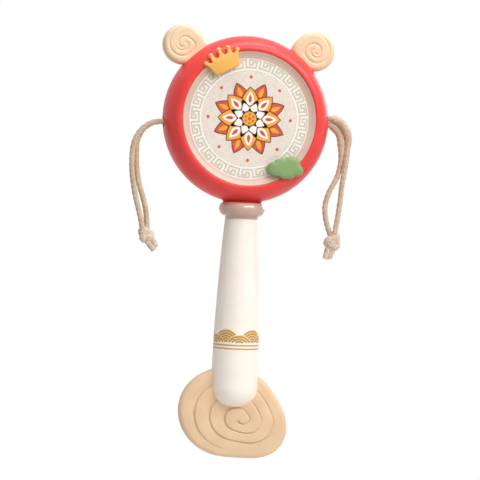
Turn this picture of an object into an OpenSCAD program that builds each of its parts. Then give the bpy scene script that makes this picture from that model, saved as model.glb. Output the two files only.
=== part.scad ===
// Pellet drum rattle: a two-faced drum on a handle, with two spiral ears, a swirl foot and two doubled cords.
// Millimetres. +Z runs up the handle to the drum, the front face looks along -Y, +X is right seen from the front.
// The origin is on the handle's axis, in the middle of the grip.

/* [View] */
// Node to draw, or all

/* [Drum] */
// Outer diameter of the drum
drum_d = 90; // [84:1:96]
// Depth of the drum from front crest to rear crest
drum_depth = 28; // [26:0.5:31]
// Radius of the bulge of the drum's wall, in section
rim_arc_r = 18.5; // [17.5:0.5:22]
// Radius of the rounded crest round each face, in section
crest_r = 4; // [3.5:0.1:4.6]
// Width of the flat land on the crest
crest_land = 1; // [0.6:0.1:1.4]
// Wall of the two shells
shell_wall = 2.2; // [1.8:0.1:2.6]
// Depth of the drumhead's seat below the crest
seat_depth = 2.8; // [2.5:0.1:3.2]
// Width of the ledge that carries a drumhead
ledge_w = 3; // [2:0.5:4]
// Thickness of that ledge
ledge_t = 1.6; // [1.2:0.1:2]
// Clearance of parts that drop in or plug together
fit_gap = 0.1; // [0.05:0.05:0.15]

/* [Faces] */
// Thickness of a drumhead
head_t = 1; // [0.8:0.1:1.2]
// Width of the bezel ring seen round a drumhead
bezel_w = 3.8; // [3:0.2:5]
// Depth of the bezel's outer edge below the crest
bezel_low = 0.4; // [0.2:0.1:0.6]

/* [Neck and collar] */
// Diameter of the short neck under the drum
neck_d = 21.4; // [20:0.2:22]
// Length of the neck below the lowest point of the drum
neck_drop = 0.5; // [0.3:0.1:2]
// Largest diameter of the collar bead
collar_d = 24.7; // [23.5:0.1:27]
// Height of the collar bead
collar_h = 8; // [7:0.5:9]
// Radius of the bead in section
bead_r = 4.6; // [4.2:0.1:5]
// Diameter of the spigot that joins the handle to the drum
spigot_d = 12; // [11:0.5:13]

/* [Handle] */
// Height of the handle's shoulder above the middle of the grip
shoulder_z = 41.5; // [36:0.5:46]
// Length of the handle from shoulder to domed end
handle_len = 101.3; // [94:0.1:110]
// Diameter at the shoulder
handle_top_d = 17.6; // [16.6:0.2:18.6]
// Diameter at the wide end
handle_end_d = 24.9; // [23.5:0.1:27]
// Radius of the domed end's corner, in section
dome_r = 10.5; // [8:0.5:11.5]
// Wall of the two handle halves
handle_wall = 2.2; // [1.8:0.1:2.6]

/* [Foot plate] */
// Mean radius of the egg-shaped plate about its swirl
foot_r = 26.9; // [25:0.1:29]
// Thickness in the middle
foot_t = 8; // [7:0.5:9]
// Thickness of the rim
foot_rim_t = 5; // [4:0.5:6]
// Swirl centre below the handle's end
foot_drop = 6.4; // [5:0.2:8]
// Swirl centre to the right of the handle's axis
foot_shift = 3; // [1:0.5:5]

/* [Ears] */
// Diameter of an ear
ear_d = 21.6; // [20:0.2:24]
// Thickness of an ear
ear_t = 8; // [6.5:0.5:10]
// Roundness of an ear's edges
ear_round = 2.5; // [1.5:0.1:3]
// Angle of each ear from the top of the drum
ear_angle = 43; // [36:1:48]
// Ear centre outside the drum's surface
ear_stand = 7.6; // [7:0.1:8.4]
// Diameter of the tenon that plugs an ear into the drum
tenon_d = 6; // [5:0.2:7]

/* [Badges] */
// Thickness of the crown and of the cloud
badge_t = 2.4; // [1.8:0.1:3]
// Angle of the crown to the left of the top
crown_angle = 27.5; // [24:0.5:31]
// Crown base inside the crest's middle
crown_in = 8.9; // [8.5:0.1:9.3]
// Half width of the crown's base
crown_half = 6.8; // [6:0.1:7.4]
// Radius of the balls on the crown's points
crown_ball = 1.35; // [1.2:0.05:1.5]
// Angle of the cloud to the right of the bottom
cloud_angle = 38; // [34:1:42]
// Cloud centre inside the crest's middle
cloud_in = 4.1; // [3.7:0.1:4.5]
// Diameter of the pegs behind the badges
peg_d = 2; // [1.8:0.1:2.2]

/* [Cords] */
// Diameter of one strand
cord_d = 3; // [2.6:0.1:3]
// Height of the left cord hole over the drum's centre
cord_left_up = -3.2; // [-4:0.1:0]
// Height of the right cord hole over the drum's centre
cord_right_up = 1.1; // [-1:0.1:2]
// Diameter of the cord holes
mouth_d = 7; // [6.8:0.1:7.4]
// Diameter of a knot's core
knot_d = 8; // [7.4:0.2:9]

/* [Screws] */
// Shank diameter of the screws
screw_d = 2.5; // [2.2:0.1:2.6]
// Diameter of their heads
screw_head_d = 4.6; // [4:0.1:4.8]

/* [Hidden] */
$fn = 64;
drum_r = drum_d / 2;
half_depth = drum_depth / 2;
arc_x = drum_r - rim_arc_r;
crest_h = half_depth - crest_r;
crest_x = arc_x + sqrt(pow(rim_arc_r - crest_r, 2) - pow(crest_h, 2));
crest_slope = crest_h / (crest_x - arc_x);
opening_r = crest_x - crest_land;
seat_h = half_depth - seat_depth;
print_r = opening_r - bezel_w;
tongue_h = 1.5;
neck_out = drum_r + neck_drop;
neck_in = neck_out - 9;
rib_out = neck_out - 4.3;
rib_in = rib_out - 2.6;
rib_side = spigot_d * 0.7;
drum_z = shoulder_z + collar_h + neck_out;
handle_low = shoulder_z - handle_len;
// the dome's corner leaves a small flat in the middle of the end
dome_flat_r = 1;
dome_corner = min(dome_r, handle_end_d / 2 - dome_flat_r);
dome_z = handle_low + dome_corner;
foot_z = handle_low - foot_drop;
foot_top = foot_z + 28;
cavity_low = foot_top + 4;
foot_boss_d = 6;
foot_boss_z = handle_low + 10;
grip_screw_down = 17;
grip_screw_step = 32;
grip_screws = [for (i = [0, 1]) shoulder_z - grip_screw_down - i * grip_screw_step];
drum_screw_angles = [-135, -66, 66, 135];
screw_ring_out = 2.9;
screw_ring = opening_r + screw_ring_out;
screw_len = 10;
screw_seat = 4;
foot_screw_seat = foot_t / 2 + 3.5;
head_h = 1.7;
cross_len = 2.6;
cross_w = 0.7;
cross_deep = 0.8;
well_d = screw_head_d + 0.6;
tenon_head_d = tenon_d + 2.8;
tenon_head_top = drum_r - shell_wall - 1;
peg_len = 3;
peg_root = 0.5;
peg_room = 0.2;
strand_off = 1.6;
run_in = 0.8;
// waves of the egg-shaped outline: count round, height, direction
foot_waves = [[1, 3.85, 140], [2, 3.4, -42], [3, 0.8, -111], [4, 0.45, -107]];
// circles that make up the cloud: right, up, radius
cloud_lobes = [[-7.3, -1, 2.7], [-6.5, 0.1, 3.4], [-2.2, 1, 4.8], [3.2, 1.8, 5], [6.7, -0.6, 3],
               [-0.4, -0.6, 4.7], [2.4, -1.8, 3.5], [-5, -1.4, 2.9]];
cloud_pegs = [[3.9, -3.7], [6.9, -0.8]];
// half of the crown's outline from its base up to the middle point, then its ball centres
crown_side = [[8, 4], [9.9, 7.6], [8.5, 8.6], [6.3, 7.3], [5.9, 10.4], [4.1, 10.8], [2.2, 8.6], [0.9, 11.6]];
crown_balls = [[9.2, 8], [5.1, 10.8], [0, 11.9], [-5.1, 10.8], [-9.2, 8]];
crown_pegs = [[4.4, 9.3], [-4.4, 9.3]];
// cord routes from the cord's mouth: out of the drum, back, up
left_front_neck = [[0.3, -1.6, 0], [5.3, -1.6, -0.8], [9.5, -1.6, -3.2], [12.4, -1.6, -6.5]];
left_back_neck = [[0.3, 1.6, 0], [5.2, 1.6, -1], [9.1, 1.6, -3.6], [11.2, 1.6, -6.5]];
left_front_run = [[12.8, -1.6, -7.1], [14.5, -1.5, -10.7], [15.4, -1, -15.2], [15.6, -1, -20.6], [15.3, -0.8, -27],
                  [14.3, -0.3, -33.4], [12.9, -0.3, -40], [11.2, -0.5, -46.3], [9.5, -1.1, -52.7], [8.5, -1.1, -58]];
left_back_run = [[11.6, 1.6, -7.1], [12.9, 1.5, -11.2], [13.1, 1.1, -16.1], [13, 1, -21.5], [12.2, 0.8, -28],
                 [10.9, 0.3, -34.4], [8.8, 0.3, -40.8], [7.2, 0.5, -46.3], [6.2, 1.1, -52], [5.8, 1.1, -58]];
right_front_neck = [[0.3, -0.2, 1.6], [3.8, -0.5, 1.2], [7.2, -0.8, -0.6], [10, -0.8, -4]];
right_back_neck = [[0.3, 0.2, -1.6], [3.2, 0.5, -2.8], [6.1, 0.8, -5.4], [7.6, 0.8, -8.4]];
right_front_run = [[10.4, -0.8, -4.8], [11.7, -0.7, -9.6], [11.5, -0.6, -14.6], [11.1, -0.8, -20], [10.4, -1.1, -25],
                   [9.8, -0.9, -29.5], [9.2, -0.3, -35], [8.9, 0, -40.6], [8.4, 0, -46], [7.7, -0.3, -51.5],
                   [6.8, -0.8, -56.5], [6.3, -1.2, -61]];
right_back_run = [[7.9, 0.8, -9.2], [8.4, 0.7, -14.7], [8.4, 0.8, -20], [7.9, 1.1, -25], [6.7, 0.9, -29.5],
                  [4.8, 0.3, -33.6], [2.4, 0, -38.2], [0.9, 0, -43.2], [0.5, 0, -47.5], [1.2, 0.3, -52.4],
                  [2.6, 0.8, -57], [4.2, 1.2, -61]];
left_knot_at = [6.4, 0, -61];
left_tail_at = [1.5, 0, -67.5];
right_knot_at = [5.6, 0, -64.6];
right_tail_at = [3.2, 0, -73.4];

red = [0.9, 0.27, 0.26];
taupe = [0.78, 0.65, 0.58];
beige = [0.93, 0.8, 0.67];
white = [0.95, 0.93, 0.9];
cream = [0.93, 0.89, 0.85];
gold = [0.97, 0.72, 0.38];
green = [0.55, 0.66, 0.44];
cotton = [0.85, 0.75, 0.66];
steel = [0.7, 0.7, 0.72];

// Frames

// The drum's own frame: x right, y up, z out of the front face.
module in_drum() translate([0, 0, drum_z]) rotate([90, 0, 0]) children();

// The same frame seen from the rear: z out of the rear face.
module in_drum_rear() in_drum() mirror([0, 0, 1]) children();

// A place round the drum: y points outward at an angle from the top.
module at_angle(a) rotate([0, 0, -a]) children();

// The foot plate's frame, with its origin at the swirl.
module in_foot() translate([foot_shift, 0, foot_z]) rotate([90, 0, 0]) children();

module front_half() translate([-200, -400, -300]) cube([400, 400, 600]);

module rear_half() translate([-200, 0, -300]) cube([400, 400, 600]);

// Drum sections

// Outer form of one half of the drum, taken in by an inset.
module rim_section(inset, inner_r) {
  intersection() {
    translate([arc_x, 0]) circle(rim_arc_r - inset);
    polygon([[arc_x, 0], [arc_x + 60, 0], [arc_x + 60, 60 * crest_slope]]);
  }
  translate([crest_x, crest_h]) circle(crest_r - inset);
  translate([inner_r, 0]) square([crest_x - inner_r, half_depth - inset]);
}

// Wall of one shell with its lip and the ledge under the drumhead.
module shell_section() {
  difference() {
    rim_section(0, opening_r);
    rim_section(shell_wall, 0);
    square([opening_r, drum_depth]);
  }
  intersection() {
    rim_section(shell_wall / 2, 0);
    union() {
      translate([opening_r - ledge_w, seat_h - ledge_t]) square([20, ledge_t]);
      translate([opening_r, seat_h - ledge_t]) square([3, seat_depth]);
    }
  }
}

module drum_form(inset) rotate_extrude() rim_section(inset, 0);

module drum_envelope(grow) {
  drum_form(-grow);
  mirror([0, 0, 1]) drum_form(-grow);
}

// Half of the neck under the drum.
module neck_half() {
  intersection() {
    rotate([90, 0, 0]) translate([0, 0, neck_in]) cylinder(d = neck_d, h = neck_out - neck_in);
    translate([-50, -80, 0]) cube([100, 100, 50]);
  }
}

// Bore of the neck, with a square waist that keys the spigot.
module neck_bore() {
  rotate([90, 0, 0]) {
    translate([0, 0, rib_out]) cylinder(d = spigot_d + 2 * fit_gap, h = 20);
    translate([0, 0, neck_in - 5]) cylinder(d = spigot_d + 2 * fit_gap, h = rib_in - neck_in + 5);
    translate([0, 0, neck_out / 2 + rib_in / 2]) cube([rib_side, rib_side, neck_out - rib_in], center = true);
  }
}

// Holes for the ears and the cords.
module side_holes() {
  for (a = [-ear_angle, ear_angle])
    at_angle(a) rotate([-90, 0, 0]) translate([0, 0, drum_r - 8]) cylinder(d = tenon_d + 3 * fit_gap, h = 12);
  for (s = [-1, 1])
    translate([s * (drum_r - 8), cord_up(s), 0]) rotate([0, s * 90, 0]) cylinder(d = mouth_d, h = 12);
}

module screw_bosses(d) {
  intersection() {
    drum_form(shell_wall / 2);
    for (a = drum_screw_angles) at_angle(a) translate([0, screw_ring, 0]) cylinder(d = d, h = seat_h - ledge_t / 2);
  }
}

module screw_holes(d, from, h) {
  for (a = drum_screw_angles) at_angle(a) translate([0, screw_ring, from]) cylinder(d = d, h = h);
}

module front_shell() {
  color(red) in_drum() difference() {
    union() {
      difference() {
        rotate_extrude() shell_section();
        translate([0, 0, -1]) cylinder(r = drum_r - shell_wall / 2, h = tongue_h + fit_gap + 1);
      }
      neck_half();
      screw_bosses(screw_d + 3.6);
    }
    neck_bore();
    side_holes();
    screw_holes(screw_d + 0.1, -1, 7.5);
    for (p = crown_pegs) crown_place() peg_hole(p);
    for (p = cloud_pegs) cloud_place() peg_hole(p);
  }
}

// Lip of the rear shell that plugs into the front shell.
module tongue() {
  difference() {
    translate([0, 0, -tongue_h]) cylinder(r = drum_r - shell_wall / 2 - fit_gap, h = tongue_h + 0.6);
    translate([0, 0, -tongue_h - 1]) cylinder(r = drum_r - shell_wall, h = tongue_h + 3);
    rotate([90, 0, 0]) cylinder(d = neck_d + 1, h = drum_d);
  }
}

module rear_shell() {
  color(red) in_drum_rear() difference() {
    union() {
      rotate_extrude() shell_section();
      tongue();
      neck_half();
      screw_bosses(well_d + 2.4);
    }
    neck_bore();
    side_holes();
    screw_holes(screw_d + 0.4, -1, 20);
    screw_holes(well_d, screw_seat, 20);
  }
}

// Faces

module drumhead() translate([0, 0, seat_h]) cylinder(r = opening_r - 2 * fit_gap, h = head_t);

module front_drumhead() color(cream) in_drum() drumhead();

module rear_drumhead() color(cream) in_drum_rear() drumhead();

// Sloping ring that holds a drumhead on its ledge.
module bezel() {
  low = seat_h + head_t;
  top = half_depth - bezel_low;
  out = opening_r - fit_gap;
  rotate_extrude() polygon([[print_r, low], [out, low], [out, top], [out - 0.5, top], [print_r, low + 0.3]]);
}

module front_bezel() color(taupe) in_drum() bezel();

module rear_bezel() color(taupe) in_drum_rear() bezel();

// Badges

module peg(at) translate([at[0], at[1], -peg_len]) cylinder(d = peg_d, h = peg_len + peg_root);

module peg_hole(at)
  translate([at[0], at[1], -peg_len - peg_room]) cylinder(d = peg_d + 2 * fit_gap, h = peg_len + 2);

module crown_place() at_angle(-crown_angle) translate([0, crest_x - crown_in, half_depth]) children();

module cloud_place() {
  at_angle(180 - cloud_angle) translate([0, crest_x - cloud_in, half_depth]) at_angle(cloud_angle - 180) children();
}

module crown_badge() {
  left = [for (i = [len(crown_side) - 1 : -1 : 0]) [-crown_side[i][0], crown_side[i][1]]];
  color(gold) in_drum() crown_place() {
    linear_extrude(badge_t) {
      polygon(concat([[-crown_half, 0], [crown_half, 0]], crown_side, left));
      for (b = crown_balls) translate(b) circle(crown_ball);
    }
    for (p = crown_pegs) peg(p);
  }
}

module cloud_badge() {
  color(green) in_drum() cloud_place() {
    linear_extrude(badge_t) for (c = cloud_lobes) translate([c[0], c[1]]) circle(c[2]);
    for (p = cloud_pegs) peg(p);
  }
}

// Ears

// A band along a spiral that starts at a radius and grows by a pitch each turn.
module spiral_band(start_r, pitch, turns, width) {
  steps = 24 * turns;
  function at(i, side) = (start_r + pitch * i / 24 + side * width / 2) * [cos(15 * i), sin(15 * i)];
  polygon(concat([for (i = [0 : steps]) at(i, 1)], [for (i = [steps : -1 : 0]) at(i, -1)]));
}

module ear_section() {
  r = ear_d / 2;
  h = ear_t / 2;
  translate([0, -h]) square([r - ear_round, ear_t]);
  translate([0, ear_round - h]) square([r, ear_t - 2 * ear_round]);
  for (s = [-1, 1]) translate([r - ear_round, s * (h - ear_round)]) circle(ear_round);
}

// The right ear in a frame whose y points out of the drum.
module ear() {
  difference() {
    translate([0, drum_r + ear_stand, 0]) difference() {
      rotate_extrude() ear_section();
      for (s = [-1, 1]) for (a = [0, 180])
        translate([0, 0, s * ear_t / 2]) rotate([0, 0, a])
          linear_extrude(1, center = true) spiral_band(1.2, 4.8, 1.5, 0.8);
    }
    drum_envelope(fit_gap / 2);
  }
  rotate([-90, 0, 0]) translate([0, 0, tenon_head_top - 1]) cylinder(d = tenon_d, h = shell_wall + 6);
  rotate([-90, 0, 0]) translate([0, 0, tenon_head_top - 1.6]) cylinder(d = tenon_head_d, h = 1.6);
}

module left_ear() color(beige) in_drum() mirror([1, 0, 0]) at_angle(ear_angle) ear();

module right_ear() color(beige) in_drum() at_angle(ear_angle) ear();

// Collar

module collar_section() {
  translate([spigot_d / 2 + fit_gap, 0]) square([handle_top_d / 2 - spigot_d / 2 - fit_gap, collar_h]);
  intersection() {
    translate([collar_d / 2 - bead_r, 0.6 * collar_h]) circle(bead_r);
    translate([spigot_d / 2 + fit_gap, 0]) square([20, collar_h]);
  }
}

module neck_collar() color(taupe) translate([0, 0, shoulder_z]) rotate_extrude() collar_section();

// Handle

// Radius of the handle at a height.
function handle_r(z) =
  handle_end_d / 2 - (handle_end_d - handle_top_d) / 2 * pow((z - dome_z) / (shoulder_z - dome_z), 2);

module handle_form() {
  side = [for (i = [0 : 10]) let (z = shoulder_z + (dome_z - shoulder_z) * i / 10) [handle_r(z), z]];
  dome = [for (a = [9 : 9 : 90]) [handle_end_d / 2 + dome_corner * (cos(a) - 1), dome_z - dome_corner * sin(a)]];
  rotate_extrude() polygon(concat([[0, shoulder_z]], side, dome, [[0, handle_low]]));
}

module handle_cavity() {
  top = shoulder_z - 3;
  wall = [for (i = [0 : 8]) let (z = top + (cavity_low - top) * i / 8) [handle_r(z) - handle_wall, z]];
  rotate_extrude() polygon(concat([[0, top]], wall, [[0, cavity_low]]));
}

// Spigot with a square waist that the drum's neck closes on.
module spigot() {
  length = neck_out - neck_in + collar_h - 0.3;
  translate([0, 0, shoulder_z]) difference() {
    cylinder(d = spigot_d, h = length);
    translate([0, 0, drum_z - rib_out - shoulder_z - 0.15]) difference() {
      cylinder(d = spigot_d + 2, h = rib_out - rib_in + 0.3);
      translate([0, 0, 1]) cube([rib_side - 0.2, rib_side - 0.2, 20], center = true);
    }
  }
}

module foot_slot() in_foot() linear_extrude(foot_t + 0.3, center = true) polygon(foot_outline(1, 0.3));

// Cylinder along Y from one place to another at a height on the handle's axis.
module cross_bar(d, z, from, to) translate([0, from, z]) rotate([-90, 0, 0]) cylinder(d = d, h = to - from);

module handle_front_half() {
  color(white) difference() {
    union() {
      intersection() {
        front_half();
        difference() {
          union() {
            handle_form();
            spigot();
          }
          handle_cavity();
          foot_slot();
        }
      }
      intersection() {
        handle_form();
        for (z = grip_screws) cross_bar(screw_d + 3.6, z, 1 - handle_r(z), 0);
      }
      cross_bar(foot_boss_d, foot_boss_z, -foot_t / 2 - 1, foot_t / 2 - 0.1);
    }
    for (z = grip_screws) cross_bar(screw_d + 0.1, z, -6.5, 1);
    cross_bar(screw_d + 0.1, foot_boss_z, foot_screw_seat - screw_len - 0.5, 20);
  }
}

module handle_rear_half() {
  color(white) difference() {
    union() {
      intersection() {
        rear_half();
        difference() {
          union() {
            handle_form();
            spigot();
          }
          handle_cavity();
          foot_slot();
        }
      }
      intersection() {
        handle_form();
        for (z = grip_screws) cross_bar(well_d + 2.4, z, 0, handle_r(z) - 1);
      }
    }
    for (z = grip_screws) {
      cross_bar(screw_d + 0.4, z, -1, 20);
      cross_bar(well_d, z, screw_seat, 20);
    }
    cross_bar(screw_d + 0.4, foot_boss_z, 0, 20);
    cross_bar(well_d, foot_boss_z, foot_screw_seat, 20);
  }
}

// Foot plate

function foot_reach(a, i = 0) =
  i == len(foot_waves) ? foot_r
  : foot_waves[i][1] * cos(foot_waves[i][0] * a - foot_waves[i][2]) + foot_reach(a, i + 1);

function foot_outline(share, grow) =
  [for (a = [0 : 5 : 355]) (share * foot_reach(a) + grow) * [cos(a), sin(a)]];

// Share of the outline that the swirl has reached after a number of turns.
function swirl_share(turns) = 0.22 + 0.25 * (floor(turns) + pow(turns - floor(turns), 3));

module swirl_band(width) {
  function at(i, side) = (swirl_share(i / 24) * foot_reach(15 * i) + side * width / 2) * [cos(15 * i), sin(15 * i)];
  polygon(concat([for (i = [0 : 66]) at(i, 1)], [for (i = [66 : -1 : 0]) at(i, -1)]));
}

module foot_plate() {
  color(beige) difference() {
    in_foot() difference() {
      union() {
        linear_extrude(foot_rim_t, center = true) polygon(foot_outline(1, 0));
        linear_extrude(foot_t, center = true) polygon(foot_outline(1, -1.6));
      }
      for (s = [-1, 1])
        translate([0, 0, s * foot_t / 2]) linear_extrude(1.2, center = true) swirl_band(0.9);
    }
    cross_bar(foot_boss_d + 0.2, foot_boss_z, -20, 20);
  }
}

// Screws

// A screw along z with its seat at zero and a cross in its head.
module screw() {
  difference() {
    union() {
      translate([0, 0, -screw_len]) cylinder(d = screw_d, h = screw_len + 0.5);
      cylinder(d = screw_head_d, h = head_h);
    }
    for (a = [0, 90]) rotate([0, 0, a]) translate([0, 0, head_h]) cube([cross_len, cross_w, 2 * cross_deep], center = true);
  }
}

module drum_screws() {
  color(steel) in_drum_rear()
    for (a = drum_screw_angles) at_angle(a) translate([0, screw_ring, screw_seat]) screw();
}

module handle_screws() {
  color(steel) {
    for (z = grip_screws) translate([0, screw_seat, z]) rotate([-90, 0, 0]) screw();
    translate([0, foot_screw_seat, foot_boss_z]) rotate([-90, 0, 0]) screw();
  }
}

// Cords

function unit(v) = v / norm(v);

function heading(path, i) = unit(path[min(i + 1, len(path) - 1)] - path[max(i - 1, 0)]);

function ring(c, t, r) =
  let (a = unit(cross(t, [0, 1, 0])), b = cross(a, t)) [for (k = [0 : 7]) c + r * (a * cos(45 * k) + b * sin(45 * k))];

// Height of a cord hole over the drum's centre, -1 left and 1 right.
function cord_up(side) = side < 0 ? cord_left_up : cord_right_up;

// A route point beside the mouth on one side.
function from_mouth(side, p) = [side * (drum_r + p[0]), p[1], drum_z + cord_up(side) + p[2]];

// One strand swept along its route with eight sides.
module strand(side, route) {
  path = [for (p = route) from_mouth(side, p)];
  last = len(path) - 1;
  points = [for (i = [0 : last]) each ring(path[i], heading(path, i), cord_d / 2)];
  skin = [for (i = [0 : last - 1]) for (k = [0 : 7])
            each [[8 * i + k, 8 * i + (k + 1) % 8, 8 * i + 8 + k],
                  [8 * i + (k + 1) % 8, 8 * i + 8 + (k + 1) % 8, 8 * i + 8 + k]]];
  start = [for (k = [7 : -1 : 0]) k];
  end = [for (k = [0 : 7]) 8 * last + k];
  color(cotton) polyhedron(points, concat(skin, [start, end]));
}

// A knot with one wrap round it and the two cut ends of its strands.
module knot(side, at, tail) {
  way = from_mouth(side, tail) - from_mouth(side, at);
  lean = atan2(way[0], way[2]);
  color(cotton) translate(from_mouth(side, at)) {
    sphere(d = knot_d);
    rotate([0, lean + side * 35, 0]) rotate_extrude() translate([knot_d / 2 - 1.2, 0]) circle(cord_d / 2);
    rotate([0, lean, 0]) for (s = [-1, 1])
      translate([s * 1.7, 0, 0]) rotate([0, s * 5, 0]) cylinder(d = cord_d, h = norm(way));
  }
}

module cord_inner_run() {
  middle = (cord_left_up + cord_right_up) / 2;
  slope = atan2(cord_right_up - cord_left_up, drum_d);
  color(cotton) for (s = [-1, 1])
    translate([0, 0, drum_z + middle + s * strand_off]) rotate([0, 90 - slope, 0])
      cylinder(d = cord_d, h = drum_d - 2 * run_in, center = true);
}

module left_cord_neck() {
  strand(-1, left_front_neck);
  strand(-1, left_back_neck);
}

module left_cord_front_strand() strand(-1, left_front_run);

module left_cord_back_strand() strand(-1, left_back_run);

module left_cord_knot() knot(-1, left_knot_at, left_tail_at);

module right_cord_neck() {
  strand(1, right_front_neck);
  strand(1, right_back_neck);
}

module right_cord_front_strand() strand(1, right_front_run);

module right_cord_back_strand() strand(1, right_back_run);

module right_cord_knot() knot(1, right_knot_at, right_tail_at);

front_shell();
rear_shell();
front_bezel();
rear_bezel();
front_drumhead();
rear_drumhead();
crown_badge();
cloud_badge();
left_ear();
right_ear();
neck_collar();
handle_front_half();
handle_rear_half();
foot_plate();
drum_screws();
handle_screws();
cord_inner_run();
left_cord_neck();
left_cord_front_strand();
left_cord_back_strand();
left_cord_knot();
right_cord_neck();
right_cord_front_strand();
right_cord_back_strand();
right_cord_knot();
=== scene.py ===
import math
import random

import bmesh
import bpy
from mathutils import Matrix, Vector

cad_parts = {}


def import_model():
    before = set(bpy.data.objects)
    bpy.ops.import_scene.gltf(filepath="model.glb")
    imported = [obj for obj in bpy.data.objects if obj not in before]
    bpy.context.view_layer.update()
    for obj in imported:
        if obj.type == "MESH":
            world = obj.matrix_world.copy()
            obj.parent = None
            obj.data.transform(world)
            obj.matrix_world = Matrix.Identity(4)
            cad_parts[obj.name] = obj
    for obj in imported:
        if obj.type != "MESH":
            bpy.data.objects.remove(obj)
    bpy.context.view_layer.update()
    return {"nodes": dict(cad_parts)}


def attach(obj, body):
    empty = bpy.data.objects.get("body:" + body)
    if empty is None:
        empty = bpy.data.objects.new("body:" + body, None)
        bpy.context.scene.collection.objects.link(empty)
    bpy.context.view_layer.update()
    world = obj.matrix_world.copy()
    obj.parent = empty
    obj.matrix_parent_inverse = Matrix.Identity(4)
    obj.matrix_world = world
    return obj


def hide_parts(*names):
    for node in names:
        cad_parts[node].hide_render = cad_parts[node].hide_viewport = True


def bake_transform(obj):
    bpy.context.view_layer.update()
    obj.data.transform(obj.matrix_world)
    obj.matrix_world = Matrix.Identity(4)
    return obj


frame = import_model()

# Pellet drum rattle, dressed around its solids.
# Lengths are millimetres unless a comment says otherwise, and become metres when a mesh is made.
MM = 0.001
DRUM = "drum_and_handle"
TURN = 2 * math.pi


# Colour and shader helpers

def lin(rgb):
    """Linear colour from 0-255 screen values."""
    out = []
    for c in rgb:
        c = c / 255
        out.append(c / 12.92 if c <= 0.04045 else ((c + 0.055) / 1.055) ** 2.4)
    return (*out, 1)


def new_material(name):
    """A material with its nodes, links and main shader."""
    mat = bpy.data.materials.new(name)
    mat.use_nodes = True
    tree = mat.node_tree
    return mat, tree.nodes, tree.links, tree.nodes["Principled BSDF"]


def noise(nodes, links, scale, detail=3, rough=0.5, stretch=(1, 1, 1)):
    """Noise in the object's own coordinates, in features per metre."""
    coords = nodes.new("ShaderNodeTexCoord")
    mapping = nodes.new("ShaderNodeMapping")
    mapping.inputs["Scale"].default_value = stretch
    links.new(coords.outputs["Object"], mapping.inputs["Vector"])
    tex = nodes.new("ShaderNodeTexNoise")
    tex.inputs["Scale"].default_value = scale
    tex.inputs["Detail"].default_value = detail
    tex.inputs["Roughness"].default_value = rough
    links.new(mapping.outputs["Vector"], tex.inputs["Vector"])
    return tex.outputs["Fac"]


def ramp(nodes, links, fac, low, high, a=0.35, b=0.65):
    """A colour between two, by a value."""
    node = nodes.new("ShaderNodeValToRGB")
    node.color_ramp.elements[0].position = a
    node.color_ramp.elements[0].color = low
    node.color_ramp.elements[1].position = b
    node.color_ramp.elements[1].color = high
    links.new(fac, node.inputs["Fac"])
    return node.outputs["Color"]


def spread(nodes, links, fac, low, high):
    """A value from 0 to 1 spread between two levels."""
    node = nodes.new("ShaderNodeMapRange")
    node.inputs["To Min"].default_value = low
    node.inputs["To Max"].default_value = high
    links.new(fac, node.inputs["Value"])
    return node.outputs["Result"]


def bump(nodes, links, bsdf, height, distance, strength=1.0):
    """Fine relief on a shader, with its depth in metres."""
    node = nodes.new("ShaderNodeBump")
    node.inputs["Distance"].default_value = distance
    node.inputs["Strength"].default_value = strength
    links.new(height, node.inputs["Height"])
    links.new(node.outputs["Normal"], bsdf.inputs["Normal"])


def moulded(name, rgb, rough, shift=6, grain=1800, relief=0.00002, sheen=0.0, gloss=0.5):
    """Moulded plastic: cloudy colour, fine mould texture and uneven gloss. Relief is in metres."""
    mat, nodes, links, bsdf = new_material(name)
    cloud = noise(nodes, links, 90, 4, 0.55)
    low = lin([max(0, c - shift) for c in rgb])
    high = lin([min(255, c + shift) for c in rgb])
    links.new(ramp(nodes, links, cloud, low, high), bsdf.inputs["Base Color"])
    fine = noise(nodes, links, grain, 2, 0.6)
    links.new(spread(nodes, links, cloud, rough - 0.05, rough + 0.07), bsdf.inputs["Roughness"])
    bump(nodes, links, bsdf, fine, relief, 0.6)
    bsdf.inputs["Specular IOR Level"].default_value = gloss
    if sheen:
        bsdf.inputs["Sheen Weight"].default_value = sheen
        bsdf.inputs["Sheen Roughness"].default_value = 0.6
        bsdf.inputs["Sheen Tint"].default_value = lin((255, 236, 222))
    return mat


def ink(name, rgb, rough=0.42, shift=5, relief=0.000012):
    """Printed ink on a plastic sheet: a little mottle and paper-fine tooth. Relief is in metres."""
    mat, nodes, links, bsdf = new_material(name)
    mottle = noise(nodes, links, 420, 5, 0.6)
    low = lin([max(0, c - shift) for c in rgb])
    high = lin([min(255, c + shift) for c in rgb])
    links.new(ramp(nodes, links, mottle, low, high), bsdf.inputs["Base Color"])
    links.new(spread(nodes, links, mottle, rough - 0.06, rough + 0.08), bsdf.inputs["Roughness"])
    bump(nodes, links, bsdf, noise(nodes, links, 2600, 2), relief, 0.5)
    return mat


def foil(name, rgb):
    """Gold hot-stamped line: half metallic, slightly broken."""
    mat, nodes, links, bsdf = new_material(name)
    wear = noise(nodes, links, 900, 6, 0.7)
    low = lin([c - 16 for c in rgb])
    links.new(ramp(nodes, links, wear, low, lin(rgb), 0.3, 0.6), bsdf.inputs["Base Color"])
    bsdf.inputs["Metallic"].default_value = 0.25
    links.new(spread(nodes, links, wear, 0.3, 0.5), bsdf.inputs["Roughness"])
    bump(nodes, links, bsdf, wear, 0.00002, 0.4)
    return mat


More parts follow.
